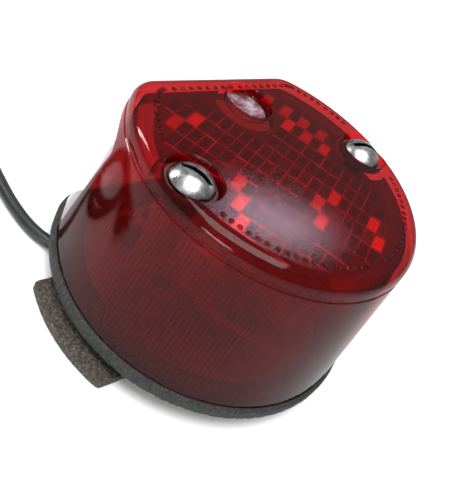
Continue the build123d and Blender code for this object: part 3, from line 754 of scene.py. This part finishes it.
def rim_pips():
    vertices, faces, lengths = [], [], [0.0]
    for (a, _), (b, _) in zip(wall_line, wall_line[1:]):
        lengths.append(lengths[-1] + (b - a).length)
    count = round(lengths[-1] / PIP_PITCH)
    for k in range(count):
        place = lengths[-1] * (k + 0.5) / count
        p, n = wall_line[next(i for i in range(len(wall_line)) if lengths[i + 1] >= place)]
        centre = p - PIP_INSET * n
        if min((centre - Vector((x, FIXING_Y))).length for x in (SCREW_X, -SCREW_X)) > PIP_ROOM:
            first, last_ring = len(vertices), (len(PIP_DOME) - 1) * PIP_SIDES
            for radius, rise in PIP_DOME:
                for q in range(PIP_SIDES):
                    t = 2 * math.pi * q / PIP_SIDES
                    x, y = centre.x + radius * math.cos(t), centre.y + radius * math.sin(t)
                    vertices.append((x, y, FACE + rise))
            faces += [tuple(first + i for i in face) for face in loops_faces(len(PIP_DOME), PIP_SIDES)]
            faces.append(tuple(first + last_ring + q for q in range(PIP_SIDES)))
            faces.append(tuple(first + q for q in reversed(range(PIP_SIDES))))
    return vertices, faces


pips = make("rim_pips", *rim_pips(), lens_red, "lens_cover", 60.0)

# ---- reflex plate: a grid of small tilted prisms on a backing sheet ----
ROW_TURN, ROW_PITCH = 119.5, 2.7
FILE_TURN, FILE_PITCH = 206.5, 5.5
GRID_START = (6.0, -2.4)
TILE_LOOPS = ((0.99, 45.85), (0.90, 46.2))
SCREW_CLEAR = RECESS_R + BOSS_WALL + REFLEX_GAP
BLIND_CLEAR = BLIND_R + BOSS_WALL + REFLEX_GAP


def heading(degrees):
    return Vector((math.cos(math.radians(degrees)), math.sin(math.radians(degrees))))


def reflex_room(x, y):
    """Space left between a point and the edge of the reflex plate."""
    screws = min(math.hypot(x - SCREW_X, y - FIXING_Y), math.hypot(x + SCREW_X, y - FIXING_Y)) - SCREW_CLEAR
    blind = math.hypot(x - BLIND[0], y - BLIND[1]) - BLIND_CLEAR
    return min(REFLEX_R - math.hypot(x, y), y + REFLEX_FLAT, screws, blind)


def prism_tiles():
    """Tiles as vertices, faces and a glint tone for each face: sides with a painted pale highlight, tops dark
    or, in patches, with a painted lit reflection.
    """
    along = heading(ROW_TURN) * ROW_PITCH
    across = heading(FILE_TURN) * FILE_PITCH
    vertices, faces, glint_tones = [], [], []
    for i in range(-18, 19):
        for j in range(-12, 13):
            centre = i * along + j * across + Vector(GRID_START)
            corners = [centre + sa * along / 2 + sb * across / 2 for sa, sb in SQUARE]
            if min(reflex_room(*c) for c in corners) < -0.9 or reflex_room(*centre) < 0.4:
                continue
            tilt = [rng.uniform(-0.16, 0.16), rng.uniform(-0.10, 0.10)]
            first = len(vertices)
            for shrink, height in TILE_LOOPS:
                for c, (sa, sb) in zip(corners, SQUARE):
                    v = centre + (c - centre) * shrink
                    vertices.append((v.x, v.y, height + (tilt[0] * sa + tilt[1] * sb)))
            faces += [tuple(first + q for q in face) for face in loops_faces(2, 4)]
            # sides: painted pale highlight
            glint_tones += [0.60 + rng.uniform(-0.08, 0.10) for _ in range(4)]
            faces.append(tuple(first + q for q in (4, 5, 6, 7)))
            # noise that clusters the painted lit reflection on the tops into patches
            glint_patch = 1.9 * field.noise(Vector((centre.x * 0.085 + 3.1, centre.y * 0.085 - 1.7, 0.4)))
            if (i + j) % 2 == 0 and glint_patch + rng.uniform(-0.35, 0.5) > 0.2:
                glint_tones.append(min(1.0, 0.72 + 0.35 * rng.random()))
            else:
                glint_tones.append(max(0.0, 0.18 + rng.uniform(-0.15, 0.26) + 0.12 * glint_patch))
    return vertices, faces, glint_tones


tile_vertices, tile_faces, tile_glint_tones = prism_tiles()
tile_mesh = bpy.data.meshes.new("reflex_tiles")
tile_mesh.from_pydata([Vector(v) * MM for v in tile_vertices], [], tile_faces)
# per-face glint tone, carrying the painted highlights and reflections
tile_mesh.attributes.new("glint_tone", "FLOAT", "FACE").data.foreach_set("value", tile_glint_tones)
tile_mesh.materials.append(prism_red)
tiles = bpy.data.objects.new("reflex_tiles", tile_mesh)
bpy.context.scene.collection.objects.link(tiles)
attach(tiles, "lens_cover")

CUT_LOW, CUT_HIGH = 40.0, 50.0
disc = rod("disc", 0.0, 0.0, REFLEX_R, REFLEX_LOW, REFLEX_HIGH)
off_shape = ((-40, -REFLEX_FLAT), (-40, -60), (40, -60), (40, -REFLEX_FLAT))
off_block = [(x, y, z) for z in (CUT_LOW, CUT_HIGH) for x, y in off_shape]
off_cut = helper("off_cut", *capped(off_block, loops_faces(2, 4), 4, 2))
reflex = cut("reflex_plate", disc, [
    off_cut,
    rod("clear_r", SCREW_X, FIXING_Y, SCREW_CLEAR, CUT_LOW, CUT_HIGH),
    rod("clear_l", -SCREW_X, FIXING_Y, SCREW_CLEAR, CUT_LOW, CUT_HIGH),
    rod("clear_b", *BLIND, BLIND_CLEAR, CUT_LOW, CUT_HIGH),
], reflex_back, "lens_cover")
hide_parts("reflex_reflector")

# ---- gasket ring: (inset, z) pairs outside, over the top and down the step inside ----
RING_PROFILE = [
    (-0.6, 5.02), (-0.9, 5.2), (-1.0, 5.7), (-1.0, 6.6), (-1.0, 7.6), (-0.9, 8.1),
    (-0.5, 8.37), (0.4, 8.38), (6.5, 8.38), (6.5, 6.55), (1.85, 6.55), (1.85, 5.02),
]


def worn(vertices, amount, scale):
    """Small uneven wear towards the middle, the same on every run."""
    moved = []
    for x, y, z in vertices:
        shift = amount * abs(field.noise(Vector((x * scale, y * scale, z * scale))))
        r = math.hypot(x, y)
        moved.append((x - shift * x / r, y - shift * y / r, z))
    return moved


ring_vertices, ring_faces = swept(RING_PROFILE, outline(2.4))
ring = make("gasket_ring", worn(ring_vertices, 0.35, 0.9), ring_faces, ring_rubber, "lamp", 50.0)
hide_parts("lens_gasket")

# ---- mounting bar: worn plate with two bolt holes ----
BAR_REACH, BAR_HALF, BAR_CORNER = 44.0, 14.8, 1.5
BOLT_X, BOLT_HOLE_R = 18.0265, 3.3


def bar_corner(side, edge):
    """Centre of one of the bar's round corners: side is the end, edge the long side, both 1 or -1."""
    y = FIXING_Y + side * edge * (BAR_HALF - BAR_CORNER)
    return side * math.sqrt((BAR_REACH - BAR_CORNER) ** 2 - y * y), y


def bar_line(step):
    """Closed outline of the bar: straight sides, and ends on a circle about the lamp's axis."""
    found = []
    for side in (1, -1):
        for edge in (-1, 1):
            x, y = bar_corner(side, edge)
            outer = math.atan2(y, x)
            flat = math.pi / 2 * side * edge
            start, end = (flat, outer) if edge < 0 else (outer, flat)
            while end < start:
                end += 2 * math.pi
            for k in range(7):
                t = start + (end - start) * k / 6
                found.append(Vector((x + BAR_CORNER * math.cos(t), y + BAR_CORNER * math.sin(t))))
            if edge < 0:
                x, y = bar_corner(side, 1)
                far = math.atan2(y, x)
                while far < outer:
                    far += 2 * math.pi
                count = round(BAR_REACH * (far - outer) / step)
                turns = [outer + (far - outer) * k / count for k in range(1, count)]
                found += [BAR_REACH * Vector((math.cos(t), math.sin(t))) for t in turns]
            else:
                last = found[-1]
                long_side = 2 * abs(last.x)
                count = round(long_side / step)
                found += [Vector((last.x - side * long_side * k / count, last.y)) for k in range(1, count)]
    return found


def bar_mesh():
    """Stacked outlines at (inset, z), bitten into by two sizes of noise."""
    flat_line = bar_line(0.7)
    count = len(flat_line)
    rows = ((0.30, 0.0), (0.04, 0.22), (0.0, 0.8), (0.0, 1.5), (0.10, 1.98), (0.42, 2.2))
    vertices = []
    for inset, z in rows:
        for k, p in enumerate(flat_line):
            run = (flat_line[(k + 1) % count] - flat_line[k - 1]).normalized()
            coarse = abs(field.noise(Vector((p.x * 0.7, p.y * 0.7, z))))
            fine = abs(field.noise(Vector((p.x * 2.3, p.y * 2.3, z * 2))))
            bite = 0.22 * coarse + 0.10 * fine
            q = p - (inset + bite) * Vector((run.y, -run.x))
            vertices.append((q.x, q.y, z))
    return capped(vertices, loops_faces(len(rows), count), count, len(rows))


blank = helper("blank", *bar_mesh())
holes = [rod("hole", x, FIXING_Y, BOLT_HOLE_R, -1.0, 3.0) for x in (-BOLT_X, BOLT_X)]
bar = cut("mounting_plate", blank, holes, bar_steel, "lamp", 40.0)
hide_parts("mounting_bar")

# ---- floor ----
floor_paint = Paint("floor")
floor_white = floor_paint.done(floor_paint.principled(Base_Color=(0.86, 0.86, 0.86, 1.0), Roughness=0.9))
floor_half, floor_z = 3, -0.0001
floor = flat_sheet("floor", [(x * floor_half, y * floor_half, floor_z) for x, y in SQUARE], floor_white)

# ---- lights ----
world = bpy.data.worlds.new("studio")
world.use_nodes = True
world.node_tree.nodes["Background"].inputs["Color"].default_value = (0.95, 0.97, 1.0, 1.0)
world.node_tree.nodes["Background"].inputs["Strength"].default_value = 0.42
bpy.context.scene.world = world


def panel(name, place, aim, size, power):
    """Soft rectangular light at a place, turned to its aim, in metres."""
    light = bpy.data.lights.new(name, "AREA")
    light.shape = "RECTANGLE"
    light.size, light.size_y = size
    light.energy = power
    obj = bpy.data.objects.new(name, light)
    obj.location = place
    obj.rotation_euler = (Vector(aim) - Vector(place)).to_track_quat("-Z", "Y").to_euler()
    bpy.context.scene.collection.objects.link(obj)


def glow_finish():
    """Soft light with a ragged edge, fading out from the card's middle."""
    paint = Paint("sky_glow")
    place = {0: paint.coords.outputs["Object"]}
    from_middle = paint.node("ShaderNodeVectorMath", place, operation="LENGTH").outputs["Value"]
    uneven = {0: from_middle, 1: paint.span(paint.noise(5.0, 4.0), -0.35, 0.35)}
    ragged = paint.node("ShaderNodeMath", uneven, operation="ADD").outputs[0]
    glow = {"Color": (0.80, 0.76, 0.92, 1.0), "Strength": paint.span(ragged, 15.0, 0.0, 0.30, 1.0)}
    return paint.done(paint.node("ShaderNodeEmission", glow).outputs[0])


panel("overhead", (0.15, 0.15, 1.2), (0, 0, 0), (0.9, 0.9), 21.0)
panel("streak", (0.25, -0.66, 0.40), (0, 0, 0.04), (0.10, 0.30), 3.2)
# a cloud-like glow whose mirror image lies soft across the face
glow_card = flat_sheet("sky_glow", [(x, y, 0) for x, y in SQUARE], glow_finish())
glow_card.location = (-0.56, -0.262, 0.50)
glow_card.rotation_euler = (0.0, 0.0, math.radians(142.0))
glow_card.scale = (0.135, 0.062, 1.0)
panel("side", (0.75, 0.30, 0.22), (0, 0, 0.03), (0.30, 0.20), 2.4)

bpy.context.view_layer.update()
